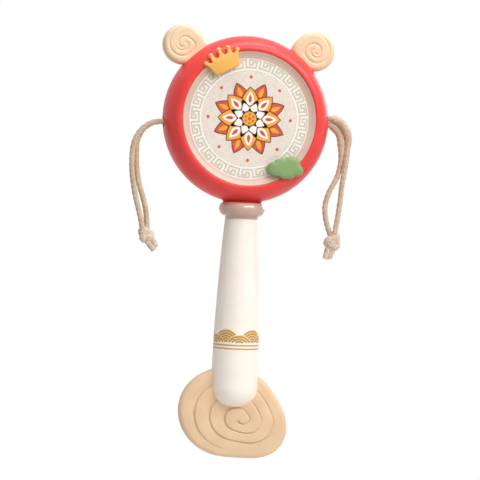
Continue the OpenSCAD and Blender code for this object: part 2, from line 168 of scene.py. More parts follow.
def cotton_yarn(name, rgb):
    """Cotton cord: fibres along the yarn, soft sheen, and painted shade where the fibre bump is low, over a
    broader random tone.
    """
    mat, nodes, links, bsdf = new_material(name)
    fibre_relief_and_shade = noise(nodes, links, 2400, 5, 0.7)
    broad = noise(nodes, links, 300, 3, 0.5)
    low = lin([c - 22 for c in rgb])
    high = lin([min(255, c + 12) for c in rgb])
    mix = nodes.new("ShaderNodeMath")
    mix.operation = "MULTIPLY_ADD"
    mix.inputs[1].default_value = 0.6
    links.new(fibre_relief_and_shade, mix.inputs[0])
    half = nodes.new("ShaderNodeMath")
    half.operation = "MULTIPLY"
    half.inputs[1].default_value = 0.4
    links.new(broad, half.inputs[0])
    links.new(half.outputs[0], mix.inputs[2])
    # Painted shade: the darker end of this colour falls where the fibre bump is low.
    links.new(ramp(nodes, links, mix.outputs[0], low, high), bsdf.inputs["Base Color"])
    bsdf.inputs["Roughness"].default_value = 0.9
    bsdf.inputs["Sheen Weight"].default_value = 0.35
    bsdf.inputs["Sheen Roughness"].default_value = 0.5
    bump(nodes, links, bsdf, fibre_relief_and_shade, 0.00012, 0.8)
    return mat


def plated(name):
    """Zinc-plated screw steel with turned streaks."""
    mat, nodes, links, bsdf = new_material(name)
    streak = noise(nodes, links, 1500, 4, 0.6, (1, 0.2, 1))
    low = lin((150, 150, 154))
    high = lin((205, 205, 208))
    links.new(ramp(nodes, links, streak, low, high), bsdf.inputs["Base Color"])
    bsdf.inputs["Metallic"].default_value = 1.0
    links.new(spread(nodes, links, streak, 0.25, 0.45), bsdf.inputs["Roughness"])
    bump(nodes, links, bsdf, streak, 0.00003, 0.5)
    return mat


RED = moulded("red_plastic", (236, 62, 59), 0.34, 4, 1500, 0.00002, gloss=0.45)
TAUPE = moulded("taupe_plastic", (217, 186, 169), 0.36, 4)
GLOSSY = moulded("taupe_gloss", (200, 166, 149), 0.14, 3, 900, 0.00001, gloss=1.0)
BEIGE = moulded("beige_plastic", (243, 210, 174), 0.42, 4)
# The foot's beige is darker than the ears' beige: partly the foot's own tone, partly painted shade for the
# dimmer light at the bottom of the toy.
FOOT_BEIGE_AND_SHADE = moulded("foot_beige_and_painted_shade", (233, 199, 163), 0.42, 4)
CREAM = moulded("white_plastic", (255, 245, 235), 0.34, 2, sheen=0.8)
GOLD = moulded("yellow_plastic", (252, 184, 90), 0.36, 4)
GREEN = moulded("green_plastic", (130, 158, 100), 0.4, 5)
FIELD = ink("print_field", (231, 216, 204))
GROUND = ink("print_ground", (250, 244, 234))
FRET = ink("print_fret", (212, 201, 186))
FAINT = ink("print_waves", (246, 237, 228))
BRIGHT = ink("print_bright", (254, 250, 243))
ORANGE = ink("print_orange", (241, 166, 52))
SCARLET = ink("print_scarlet", (216, 76, 46))
PALE = ink("print_white", (251, 247, 240))
DARK = ink("print_dark", (46, 30, 28))
STAMP = foil("gold_stamp", (206, 160, 70))
COTTON = cotton_yarn("cotton_cord", (210, 186, 160))
KNOT = cotton_yarn("cotton_knot", (224, 202, 182))
CUT = cotton_yarn("cotton_cut_end", (238, 220, 203))
STEEL = plated("screw_steel")


# Mesh helpers

def make(name, verts, faces, material, sharp=35):
    """A mesh object from millimetre points, with outward faces and smooth shading."""
    mesh = bpy.data.meshes.new(name)
    mesh.from_pydata([Vector(v) * MM for v in verts], [], faces)
    mesh.validate()
    obj = bpy.data.objects.new(name, mesh)
    bpy.context.scene.collection.objects.link(obj)
    mesh.materials.append(material)
    tidy = bmesh.new()
    tidy.from_mesh(mesh)
    bmesh.ops.remove_doubles(tidy, verts=tidy.verts, dist=1e-7)
    bmesh.ops.recalc_face_normals(tidy, faces=tidy.faces)
    tidy.to_mesh(mesh)
    tidy.free()
    smooth(mesh, sharp)
    return obj


def smooth(mesh, sharp):
    """Smooth shading, with edges kept sharp above an angle."""
    mesh.shade_smooth()
    mesh.set_sharp_from_angle(angle=math.radians(sharp))


def bake(obj, sharp=35):
    """Applies an object's modifiers to its mesh."""
    graph = bpy.context.evaluated_depsgraph_get()
    done = bpy.data.meshes.new_from_object(obj.evaluated_get(graph))
    obj.modifiers.clear()
    old = obj.data
    obj.data = done
    done.name = old.name
    bpy.data.meshes.remove(old)
    smooth(done, sharp)


def cut(obj, cutters, sharp=35):
    """Takes the cutters out of an object, then removes them."""
    for cutter in cutters:
        mod = obj.modifiers.new("cut", "BOOLEAN")
        mod.operation = "DIFFERENCE"
        mod.solver = "EXACT"
        mod.object = cutter
    bake(obj, sharp)
    for cutter in cutters:
        bpy.data.objects.remove(cutter)


def soften(obj, width, segments=3, angle=40, sharp=35):
    """Rounds an object's hard edges."""
    mod = obj.modifiers.new("soften", "BEVEL")
    mod.width = width * MM
    mod.segments = segments
    mod.limit_method = "ANGLE"
    mod.angle_limit = math.radians(angle)
    bake(obj, sharp)


def dress(obj, slot, *nodes, body=DRUM):
    """Lets an object ride on a body and stand for solids."""
    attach(obj, body)
    if nodes:
        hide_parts(*nodes)
    return obj


def arc(cx, cy, r, a0, a1, steps):
    """Points on a circle from one angle to another, in degrees."""
    angles = [math.radians(a0 + (a1 - a0) * i / steps) for i in range(steps + 1)]
    return [(cx + r * math.cos(a), cy + r * math.sin(a)) for a in angles]


def turned(name, profile, place, material, steps=192, sharp=35):
    """A closed section turned into a ring."""
    n = len(profile)
    verts = [place(r, h, TURN * i / steps) for i in range(steps) for r, h in profile]
    faces = []
    for i in range(steps):
        k = (i + 1) % steps
        for j in range(n):
            m = (j + 1) % n
            faces.append((i * n + j, i * n + m, k * n + m, k * n + j))
    return make(name, verts, faces, material, sharp)


def ring_faces(rows, steps):
    """Quads between rows of points that each go once round."""
    faces = []
    for j in range(rows - 1):
        low = j * steps
        high = low + steps
        for i in range(steps):
            k = (i + 1) % steps
            faces.append((low + i, low + k, high + k, high + i))
    return faces


def fan_faces(row, steps, tip):
    """Triangles from a row of points to a tip."""
    return [(row * steps + i, row * steps + (i + 1) % steps, tip) for i in range(steps)]


def bar(name, start, end, radius, steps=48):
    """A plain round bar between two points, used as a cutter."""
    start = Vector(start)
    way = Vector(end) - start
    side = way.orthogonal().normalized()
    other = way.normalized().cross(side)
    angles = [TURN * i / steps for i in range(steps)]
    rim = [radius * (side * math.cos(a) + other * math.sin(a)) for a in angles]
    verts = [start + p for p in rim] + [start + way + p for p in rim]
    faces = [(i, (i + 1) % steps, steps + (i + 1) % steps, steps + i) for i in range(steps)]
    faces.append(tuple(range(steps)))
    faces.append(tuple(range(steps, 2 * steps)))
    return make(name, verts, faces, RED)


# Sizes shared with the solids

DRUM_Z = 95
DRUM_R = 45
ARC_X, ARC_R = 26.5, 18.5
CREST_X, CREST_H, CREST_R = 37, 10, 4
OPENING_R = 36
PRINT_R = 32.2
FACE_H = 12.2
HALF_DEPTH = 14
LEDGE_R, LEDGE_H = 33, 11.2
INNER_R = 16.3
BEZEL_R = 35.9
MOUTH_Z = {-1: 91.8, 1: 96.1}
MOUTH_R = 3.5
SCREW_RING, WELL_R = 38.9, 2.6
DRUM_SCREWS = [-135, -66, 66, 135]
GRIP_SCREWS = [(4, 24.5), (4, -7.5), (7.5, -49.8)]
SHOULDER_Z, DOME_Z, DOME_R = 41.5, -49.3, 10.5
HANDLE_TOP_R, HANDLE_END_R = 8.8, 12.45


def front_place(r, h, a):
    return (r * math.sin(a), -h, DRUM_Z + r * math.cos(a))


def rear_place(r, h, a):
    return (r * math.sin(a), h, DRUM_Z + r * math.cos(a))


def front_place_xy(x, y, h):
    return (x, -h, DRUM_Z + y)


def upright(r, z, a):
    return (r * math.cos(a), r * math.sin(a), z)


def handle_r(z):
    """Radius of the handle at a height."""
    share = (z - DOME_Z) / (SHOULDER_Z - DOME_Z)
    return HANDLE_END_R - (HANDLE_END_R - HANDLE_TOP_R) * share * share


# Drum

def shell(name, place, node, screws):
    """One red shell with its lip, ledge, half neck, cord mouths and screw wells."""
    crest_angle = math.degrees(math.atan2(CREST_H, CREST_X - ARC_X))
    section = [(44.78, 0.02), (44.9, 0.16), (44.99, 0.4)]
    section += arc(ARC_X, 0, ARC_R, 2.5, crest_angle, 30)
    section += arc(CREST_X, CREST_H, CREST_R, crest_angle + 4, 90, 12)
    section += [(36.5, HALF_DEPTH), (36.2, 13.92), (36.04, 13.74), (OPENING_R, 13.5), (OPENING_R, LEDGE_H)]
    section += [(LEDGE_R, LEDGE_H), (LEDGE_R, 9.6)]
    section += arc(ARC_X, 0, INNER_R, 36, 0, 10)
    obj = turned(name, section, place, RED, 256)
    holes = []
    for side in (-1, 1):
        z = MOUTH_Z[side]
        holes.append(bar("hole", (side * OPENING_R, 0, z), (side * 50, 0, z), MOUTH_R))
    for a in screws:
        x, _, z = rear_place(SCREW_RING, 0, math.radians(a))
        holes.append(bar("hole", (x, 4, z), (x, 20, z), WELL_R))
    cut(obj, holes)
    soften(obj, 0.35, 2, 50)
    half_neck(obj, place(0, 1, 0)[1])
    return dress(obj, "red_plastic", node)


NECK = [(10.2, 49.4), (10.3, 50.1), (10.7, 51), (11.3, 52.1), (11.8, 53.4), (12, 55)]
NECK_DEPTH = 0.55


def half_neck(obj, way):
    """Adds half of the flared neck under the drum, wider than deep."""
    steps = 48
    verts = []
    for r, z in NECK:
        for i in range(steps + 1):
            a = math.pi * i / steps
            verts.append((r * math.cos(a), way * (0.06 + NECK_DEPTH * r * math.sin(a)), z))
    row = steps + 1
    faces = [(j * row + i, j * row + i + 1, (j + 1) * row + i + 1, (j + 1) * row + i)
             for j in range(len(NECK) - 1) for i in range(steps)]
    faces.append(tuple(range(row)))
    neck = make("neck", verts, faces, RED)
    both = bmesh.new()
    both.from_mesh(obj.data)
    both.from_mesh(neck.data)
    both.to_mesh(obj.data)
    both.free()
    smooth(obj.data, 35)
    bpy.data.objects.remove(neck)


def bezel(name, place, node):
    """Dished taupe ring round a printed face."""
    section = [(PRINT_R, FACE_H), (BEZEL_R, FACE_H), (BEZEL_R, 13.5), (35.8, 13.62), (35.5, 13.64)]
    for i in range(10):
        u = 1 - i / 9
        section.append((PRINT_R + 0.35 + 2.9 * u, 12.52 + 1.08 * u ** 1.7))
    section += [(PRINT_R + 0.12, 12.5), (PRINT_R, 12.4)]
    return dress(turned(name, section, place, TAUPE, 192), "taupe_plastic", node)


# Printed faces

def on_face(x, y, lift, side):
    """A point of the print: side 1 is the front, -1 the rear."""
    return (side * x, -side * (FACE_H + lift), DRUM_Z + y)


def flat(name, shapes, lift, material, side):
    """Flat shapes printed on a face."""
    verts = []
    faces = []
    for shape in shapes:
        area = sum(a[0] * b[1] - b[0] * a[1] for a, b in zip(shape, shape[1:] + shape[:1]))
        points = shape if area > 0 else shape[::-1]
        faces.append(tuple(range(len(verts), len(verts) + len(points))))
        verts += [on_face(x, y, lift, side) for x, y in points]
    mesh = bpy.data.meshes.new(name)
    mesh.from_pydata([Vector(v) * MM for v in verts], [], faces)
    obj = bpy.data.objects.new(name, mesh)
    bpy.context.scene.collection.objects.link(obj)
    mesh.materials.append(material)
    return dress(obj, "printed_sheet")


def polar(r, a):
    """A point of a face at a radius and a clockwise angle from the top, in degrees."""
    return (r * math.sin(math.radians(a)), r * math.cos(math.radians(a)))


def band(r0, r1, a0, a1, steps):
    """A piece of a ring as quads."""
    edge = [a0 + (a1 - a0) * i / steps for i in range(steps + 1)]
    return [[polar(r0, a), polar(r0, b), polar(r1, b), polar(r1, a)] for a, b in zip(edge, edge[1:])]


FRET_COUNT = 24
FRET_START = 9
FRET_LOW, FRET_HIGH = 27.2, 31.2
FRET_HALF = 0.46


def fret_shapes():
    """The key border: one line that runs round in squared hooks."""
    step = 360 / FRET_COUNT
    shapes = []

    def level(v):
        return FRET_LOW + v * (FRET_HIGH - FRET_LOW)

    def along(k, s0, s1, v):
        r = level(v)
        pad = math.degrees(FRET_HALF / r)
        a0 = FRET_START + step * (k + s0) - pad
        a1 = FRET_START + step * (k + s1) + pad
        shapes.extend(band(r - FRET_HALF, r + FRET_HALF, a0, a1, 4))

    def across(k, s, v0, v1):
        mid = FRET_START + step * (k + s)
        r0 = level(v0) + FRET_HALF
        r1 = level(v1) - FRET_HALF
        p0 = math.degrees(FRET_HALF / r0)
        p1 = math.degrees(FRET_HALF / r1)
        shapes.append([polar(r0, mid - p0), polar(r0, mid + p0), polar(r1, mid + p1), polar(r1, mid - p1)])

    for k in range(FRET_COUNT):
        along(k, 0, 0.75, 0)
        along(k, 0.48, 0.75, 0.73)
        along(k, 0.25, 0.48, 0.38)
        along(k, 0.25, 1, 1)
        across(k, 0, 0, 1)
        across(k, 0.75, 0, 0.73)
        across(k, 0.48, 0.38, 0.73)
        across(k, 0.25, 0.38, 1)
    return shapes


def scallop_runs(centres, radii, reach, keep, step=4):
    """Wave scallops: arcs about centres, each hidden where a lower scallop covers it."""
    for cx, cy in centres:
        lower = [(x, y) for x, y in centres
                 if y < cy - 0.01 and abs(x - cx) < 2 * reach and cy - y < 2 * reach]
        for r in radii:
            run = []
            for i in range(0, 181, step):
                a = math.radians(i)
                p = (cx + r * math.cos(a), cy + r * math.sin(a))
                hidden = any(math.hypot(p[0] - x, p[1] - y) < reach for x, y in lower)
                if hidden or not keep(p):
                    if len(run) > 1:
                        yield cx, cy, r, run
                    run = []
                else:
                    run.append(a)
            if len(run) > 1:
                yield cx, cy, r, run


def ribbon_shapes(runs, half):
    """Quads along arcs, half a width to each side."""
    shapes = []
    for cx, cy, r, run in runs:
        for a, b in zip(run, run[1:]):
            shapes.append([(cx + q * math.cos(t), cy + q * math.sin(t))
                           for q, t in ((r - half, a), (r + half, a), (r + half, b), (r - half, b))])
    return shapes


WAVE_R = 3.4


def wave_shapes():
    """Faint scallops that fill the field of a face."""
    centres = []
    for row in range(-19, 18):
        shift = WAVE_R if row % 2 else 0
        for col in range(-5, 6):
            centres.append((col * 2 * WAVE_R + shift, row * WAVE_R / 2))
    near = [c for c in centres if math.hypot(*c) < 30]

    def inside(p):
        return math.hypot(*p) < 25.4

    return ribbon_shapes(scallop_runs(near, [WAVE_R, WAVE_R * 0.68, WAVE_R * 0.36], WAVE_R, inside, 12), 0.2)


def petal(angle, r0, r1, half):
    """A rounded petal from a radius out to a radius, pointing at an angle."""
    right = []
    for i in range(13):
        u = i / 12
        w = half * math.sin(math.pi * u ** 0.75) ** 0.8 if 0 < u < 1 else 0
        right.append((w, r0 + (r1 - r0) * u))
    points = right + [(-x, y) for x, y in right[-2:0:-1]]
    s, c = math.sin(math.radians(angle)), math.cos(math.radians(angle))
    return [(x * c + y * s, -x * s + y * c) for x, y in points]


def disc(x, y, r, steps=28):
    """A round shape."""
    return [(x + r * math.cos(TURN * i / steps), y + r * math.sin(TURN * i / steps)) for i in range(steps)]


PETAL_COUNT = 8
# Petal rings from the back forward: name, first angle, inner and outer radius, half width, lift and ink
PETALS = [
    ("back_line", 22.5, 5, 20.4, 4.6, 0.08, DARK),
    ("back", 22.5, 5.5, 19.7, 4.1, 0.1, SCARLET),
    ("back_vein", 22.5, 12.5, 18, 1.2, 0.12, ORANGE),
    ("mid_line", 0, 2, 17.2, 5.1, 0.14, DARK),
    ("mid", 0, 2.4, 16.6, 4.6, 0.16, ORANGE),
    ("mid_pale", 0, 7, 14.6, 2.2, 0.18, PALE),
    ("mid_heart", 0, 8.5, 13, 0.9, 0.2, SCARLET),
    ("inner_line", 22.5, 0.5, 9.4, 2.9, 0.22, DARK),
    ("inner", 22.5, 0.8, 8.8, 2.45, 0.24, PALE),
]
FIELD_R = 25.9


def print_face(end, side):
    """One printed face: border, waves and a flower in the middle."""
    flat(end + "_print_field", band(0.01, FIELD_R, 0, 360, 96), 0.03, FIELD, side)
    flat(end + "_print_waves", wave_shapes(), 0.05, FAINT, side)
    flat(end + "_print_ground", band(FIELD_R, PRINT_R + 0.5, 0, 360, 120), 0.03, GROUND, side)
    flat(end + "_print_ring", band(25.8, 26.3, 0, 360, 120), 0.06, BRIGHT, side)
    flat(end + "_print_fret", fret_shapes(), 0.06, FRET, side)
    turns = [360 / PETAL_COUNT * k for k in range(PETAL_COUNT)]
    for ring, first, r0, r1, half, lift, material in PETALS:
        flat(end + "_flower_" + ring, [petal(first + a, r0, r1, half) for a in turns], lift, material, side)
    flat(end + "_flower_eye_line", [disc(0, 0, 4.3)], 0.26, DARK, side)
    flat(end + "_flower_eye", [disc(0, 0, 3.75)], 0.28, ORANGE, side)
    seeds = [disc(*polar(2.3, 60 * k), 0.55, 16) for k in range(6)] + [disc(0, 0, 0.8, 16)]
    flat(end + "_flower_seeds", seeds, 0.3, SCARLET, side)
    flat(end + "_flower_dots", [disc(*polar(22.2, a), 0.85, 18) for a in turns], 0.08, SCARLET, side)


# Badges

def plate_badge(name, outline, place, thick, material):
    """A flat badge cut from an outline, with rounded front edges."""
    n = len(outline)
    verts = [place(x, y, HALF_DEPTH + 0.02) for x, y in outline]
    verts += [place(x, y, HALF_DEPTH + thick) for x, y in outline]
    faces = [(i, (i + 1) % n, n + (i + 1) % n, n + i) for i in range(n)]
    faces.append(tuple(range(n)))
    faces.append(tuple(range(n, 2 * n)))
    return make(name, verts, faces, material, 50)


CROWN_ANGLE = -27.5
CROWN_BASE = 28.1
CROWN_T = 2
# Right half of the crown's outline from its base up, then its ball centres
CROWN_SIDE = [(6.8, 0), (7.6, 3), (8.6, 5.6), (9.9, 7.8), (8.6, 8.5), (7.3, 7.4), (6.5, 7), (6, 7.5),
              (5.9, 10.6), (4.4, 10.9), (3.7, 9), (2.8, 8.2), (1.7, 8.5), (1, 9.4), (0.8, 11.8)]
CROWN_BALLS = [(9.2, 8), (5.1, 10.8), (0, 11.9), (-5.1, 10.8), (-9.2, 8)]
BALL_R, BALL_H = 1.35, 2.25


def crown():
    """Gold crown with balls on its points."""
    turn = math.radians(CROWN_ANGLE)
    s, c = math.sin(turn), math.cos(turn)

    def place(u, v, h):
        y = CROWN_BASE + v
        return front_place_xy(u * c + y * s, -u * s + y * c, h)

    outline = CROWN_SIDE + [(-x, y) for x, y in CROWN_SIDE[::-1]]
    obj = plate_badge("crown_body", outline, place, CROWN_T, GOLD)
    soften(obj, 0.5, 3, 60, 40)
    dress(obj, "yellow_plastic", "crown_badge")
    for i, (u, v) in enumerate(CROWN_BALLS):
        ball = dome("crown_ball_%d" % (i + 1), place(u, v, HALF_DEPTH + 0.1), BALL_R, BALL_H, GOLD)
        dress(ball, "yellow_plastic")


def dome(name, centre, radius, height, material):
    """A rounded button that stands out of the front face."""
    rings = 10
    steps = 32
    verts = []
    for j in range(rings):
        a = math.pi / 2 * j / rings
        for i in range(steps):
            b = TURN * i / steps
            verts.append((centre[0] + radius * math.cos(a) * math.cos(b), centre[1] - height * math.sin(a),
                          centre[2] + radius * math.cos(a) * math.sin(b)))
    verts.append((centre[0], centre[1] - height, centre[2]))
    faces = ring_faces(rings, steps) + fan_faces(rings - 1, steps, rings * steps)
    return make(name, verts, faces, material)


CLOUD_OUT, CLOUD_ANGLE = 32.9, 38
# Circles that make up the cloud: right, up, radius
CLOUD_LOBES = [(-7.3, -1, 2.7), (-6.5, 0.1, 3.4), (-2.2, 1, 4.8), (3.2, 1.8, 5), (6.7, -0.6, 3),
               (-0.4, -0.6, 4.7), (2.4, -1.8, 3.5), (-5, -1.4, 2.9)]


def cloud_reach(a):
    """Distance from the cloud's middle to its edge along an angle."""
    best = 0
    for x, y, r in CLOUD_LOBES:
        along = x * math.cos(a) + y * math.sin(a)
        off = x * math.sin(a) - y * math.cos(a)
        if abs(off) < r:
            best = max(best, along + math.sqrt(r * r - off * off))
    return best


def cloud():
    """Green cloud, domed towards its edge."""
    x0, y0 = polar(CLOUD_OUT, 180 - CLOUD_ANGLE)
    steps = 144
    # share of the way to the edge, and height there
    rows = [(0, 2.4), (0.3, 2.4), (0.6, 2.38), (0.8, 2.28), (0.9, 2.05), (0.96, 1.7), (0.99, 1.2), (1, 0.7),
            (1, 0.02)]
    verts = []
    for share, h in rows:
        for i in range(steps):
            a = TURN * i / steps
            r = share * cloud_reach(a)
            verts.append(front_place_xy(x0 + r * math.cos(a), y0 + r * math.sin(a), HALF_DEPTH + h))
    faces = ring_faces(len(rows), steps)
    faces.append(tuple((len(rows) - 1) * steps + i for i in range(steps)))
    dress(make("cloud_body", verts, faces, GREEN, 50), "green_plastic", "cloud_badge")


# Ears

EAR_R, EAR_T, EAR_ROUND = 10.8, 8, 2.5
EAR_AT, EAR_ANGLE = 52.6, 43
# Arms of the spiral: radius at its start, first and last turn, depth
EAR_ARMS = [(2.7, -0.32, 1.3, 0.5), (4.62, -0.68, -0.02, 0.42)]
EAR_PITCH, EAR_LINE = 4.9, 0.5
BULGE_ANGLE, BULGE_SHARE, BULGE_WIDTH = 182, 0.17, 27


def ear_groove(r, a):
    """Depth of the spiral groove at a point of an ear: a long arm and a short hook beside its start."""
    lead = a - math.radians(EAR_ANGLE)
    depth = 0
    for base, first, last, deep in EAR_ARMS:
        for n in (-1, 0, 1):
            t = (lead / TURN) % 1 + n
            if first <= t <= last:
                off = abs(r - base - EAR_PITCH * t)
                fade = min(1, (t - first) / 0.1, (last - t) / 0.16)
                depth = max(depth, deep * fade * math.exp(-(off / EAR_LINE) ** 2))
    return depth


def ear_stretch(a):
    """How far the ear's edge runs out towards the top of the drum."""
    off = math.degrees((a - math.radians(EAR_ANGLE + BULGE_ANGLE) + math.pi) % TURN - math.pi)
    return 1 + BULGE_SHARE * math.exp(-(off / BULGE_WIDTH) ** 2)


def ear(name, side, node):
    """A round ear with its spiral on both faces."""
    steps = 180
    flat_r = EAR_R - EAR_ROUND
    rows = [(flat_r * i / 40, EAR_T / 2) for i in range(1, 41)]
    for b in (12, 24, 36, 48, 60, 72, 84, 90):
        turn = math.radians(b)
        rows.append((flat_r + EAR_ROUND * math.sin(turn), EAR_T / 2 - EAR_ROUND * (1 - math.cos(turn))))
    both = [(r, h, 1) for r, h in rows] + [(r, h, -1) for r, h in rows[::-1]]
    s, c = math.sin(math.radians(EAR_ANGLE)), math.cos(math.radians(EAR_ANGLE))

    def place(x, y, h):
        out = EAR_AT + y
        return (side * (x * c + out * s), -h, DRUM_Z - x * s + out * c)

    verts = []
    for r, h, face in both:
        for i in range(steps):
            a = TURN * i / steps
            deep = ear_groove(r, a)
            wide = r * ear_stretch(a)
            verts.append(place(wide * math.cos(a), wide * math.sin(a), face * (h - deep)))
    count = len(both)
    faces = ring_faces(count, steps)
    for j, face in ((0, 1), (count - 1, -1)):
        verts.append(place(0, 0, face * EAR_T / 2))
        faces += fan_faces(j, steps, len(verts) - 1)
    dress(make(name, verts, faces, BEIGE, 60), "beige_plastic", node)


# Collar and handle

def collar():
    """Bead collar: a round shoulder over a short sleeve."""
    section = [(6.1, 41.52), (8.75, 41.52), (8.9, 41.66), (8.95, 42.7), (9.25, 43)]
    section += arc(8.15, 46.9, 4.2, -62, 50, 30)
    section += [(10.6, 50.2), (6.1, 50.2)]
    dress(turned("collar_bead", section, upright, GLOSSY, 160, 50), "taupe_plastic", "neck_collar")


PARTING_DEPTH, PARTING_DEG = 0.16, 1.4


def half_handle(name, node, way, screws):
    """Half of the handle, with a fine parting line and its screw wells."""
    section = [(8.2, SHOULDER_Z - 0.02), (8.6, SHOULDER_Z - 0.1)]
    fall = DOME_Z - SHOULDER_Z + 0.4
    heights = [SHOULDER_Z - 0.4 + fall * i / 40 for i in range(41)]
    section += [(handle_r(z), z) for z in heights]
    section += arc(HANDLE_END_R - DOME_R, DOME_Z, DOME_R, -4, -90, 22)
    fine = [0, 0.25, 0.7, PARTING_DEG]
    degrees = fine + [3 + 6 * i for i in range(30)] + [180 - d for d in fine[::-1]]
    n = len(section)
    verts = []
    for d in degrees:
        a = math.radians(d)
        dip = PARTING_DEPTH * max(0, 1 - min(d, 180 - d) / PARTING_DEG)
        for r, z in section:
            verts.append(((r - dip) * math.cos(a), way * (0.02 + (r - dip) * math.sin(a)), z))
    faces = [(i * n + j, i * n + j + 1, (i + 1) * n + j + 1, (i + 1) * n + j)
             for i in range(len(degrees) - 1) for j in range(n - 1)]
    last = (len(degrees) - 1) * n
    faces.append(tuple(range(n)) + tuple(last + j for j in reversed(range(n))))
    faces.append(tuple(i * n for i in range(len(degrees))))
    faces.append(tuple(i * n + n - 1 for i in range(len(degrees))))
    obj = make(name, verts, faces, CREAM, 30)
    if screws:
        cut(obj, [bar("hole", (0, y, z), (0, 20, z), WELL_R) for y, z in screws], 30)
    dress(obj, "white_plastic", node)


BAND_R, BAND_COUNT = 12.1, 5
SCALLOP_RADII = [6.9, 5.55, 4.2, 2.85, 1.5]
SCALLOP_REACH, SCALLOP_HALF = 7.6, 0.56
SCALLOP_HIGH, SCALLOP_LOW, BAND_BASE = -25.3, -28.2, -24.6
BAND_RINGS, RING_HALF = (-26.1, -27.95), 0.36


def on_handle(s, z, lift):
    """A point on the handle: s is the way round from the front, in millimetres at the band."""
    a = s / BAND_R
    r = handle_r(z) + lift
    return (r * math.sin(a), -r * math.cos(a), z)


def gold_band():
    """Stamped scallops and two rings round the handle."""
    pitch = TURN * BAND_R / BAND_COUNT
    centres = [(pitch * (k + 0.5), SCALLOP_HIGH) for k in range(-3, 3)]
    centres += [(pitch * k, SCALLOP_LOW) for k in range(-3, 4)]

    def keep(p):
        return p[1] > BAND_BASE and abs(p[0]) <= pitch * BAND_COUNT / 2

    shapes = ribbon_shapes(scallop_runs(centres, SCALLOP_RADII, SCALLOP_REACH, keep, 3), SCALLOP_HALF)
    steps = 120
    edge = [pitch * (BAND_COUNT * i / steps - BAND_COUNT / 2) for i in range(steps + 1)]
    for z in BAND_RINGS:
        low, high = z - RING_HALF, z + RING_HALF
        for a, b in zip(edge, edge[1:]):
            shapes.append([(a, low), (b, low), (b, high), (a, high)])
    verts = []
    faces = []
    for shape in shapes:
        faces.append(tuple(range(len(verts), len(verts) + 4)))
        verts += [on_handle(s, z, 0.05) for s, z in shape]
    dress(make("handle_gold_band", verts, faces, STAMP), "yellow_plastic")


# Foot plate

# Waves that make the foot's outline: count round it, height and lead in degrees
FOOT_WAVES = [(1, 3.85, 140), (2, 3.4, -42), (3, 0.8, -111), (4, 0.45, -107)]
FOOT_R = 26.9
FOOT_AT = (3, -66.2)
LIP_IN, LIP_H = 3.4, 2.7
RISE_IN, RISE_H = 13.6, 1.3
SWIRL_START, SWIRL_END = -0.4, 2.75


def foot_reach(deg):
    """Distance from the foot's middle to its edge along an angle."""
    return FOOT_R + sum(h * math.cos(math.radians(n * deg - lead)) for n, h, lead in FOOT_WAVES)


def foot_height(d):
    """Half thickness at a distance in from the edge: a round lip and a low dome."""
    if d < LIP_IN:
        return LIP_H * math.sqrt(max(0, 1 - (1 - d / LIP_IN) ** 2))
    u = min(1, (d - LIP_IN) / RISE_IN)
    return LIP_H + RISE_H * (1 - (1 - u) ** 2)


def foot_groove(radius, reach, deg):
    """Depth of the swirl: a fine groove with a soft step on its outer side."""
    depth = 0
    frac = deg / 360
    for n in range(-1, 3):
        t = n + frac
        if SWIRL_START <= t <= SWIRL_END:
            off = radius - reach * (0.22 + 0.25 * (n + frac ** 3))
            fade = min(1, (t - SWIRL_START) / 0.1, (SWIRL_END - t) / 0.25)
            fine = 1.25 * math.exp(-(off / 0.5) ** 2)
            step = 0.9 * math.exp(-off / 3) if off > 0 else 0
            depth = max(depth, fade * max(fine, step))
    return depth


def foot():
    """Egg-shaped foot with its swirl on both faces."""
    steps = 240
    inner = [0.9 * i / 84 for i in range(1, 85)]
    edge = [2.1, 1.7, 1.3, 1, 0.8, 0.6, 0.4, 0.25, 0.12, 0.03, 0]
    angles = [360 * i / steps for i in range(steps)]
    rows = []
    for share in inner:
        rows.append([share * foot_reach(deg) for deg in angles])
    for d in edge:
        rows.append([foot_reach(deg) - d for deg in angles])
    both = [(row, 1) for row in rows] + [(row, -1) for row in rows[-2::-1]]
    verts = []
    for row, face in both:
        for deg, radius in zip(angles, row):
            reach = foot_reach(deg)
            h = foot_height(reach - radius) - foot_groove(radius, reach, deg)
            a = math.radians(deg)
            x = FOOT_AT[0] + radius * math.cos(a)
            z = FOOT_AT[1] + radius * math.sin(a)
            verts.append((x, -face * max(0, h), z))
    count = len(both)
    faces = ring_faces(count, steps)
    for j, face in ((0, 1), (count - 1, -1)):
        verts.append((FOOT_AT[0], -face * (LIP_H + RISE_H), FOOT_AT[1]))
        faces += fan_faces(j, steps, len(verts) - 1)
    dress(make("foot_swirl", verts, faces, FOOT_BEIGE_AND_SHADE, 60), "beige_plastic", "foot_plate")


# Cords

CORD_D = 3
CORD_STEP = 0.35
RELIEF = 0.13
PLAITS, PLAIT_TURN = 4, 2.1
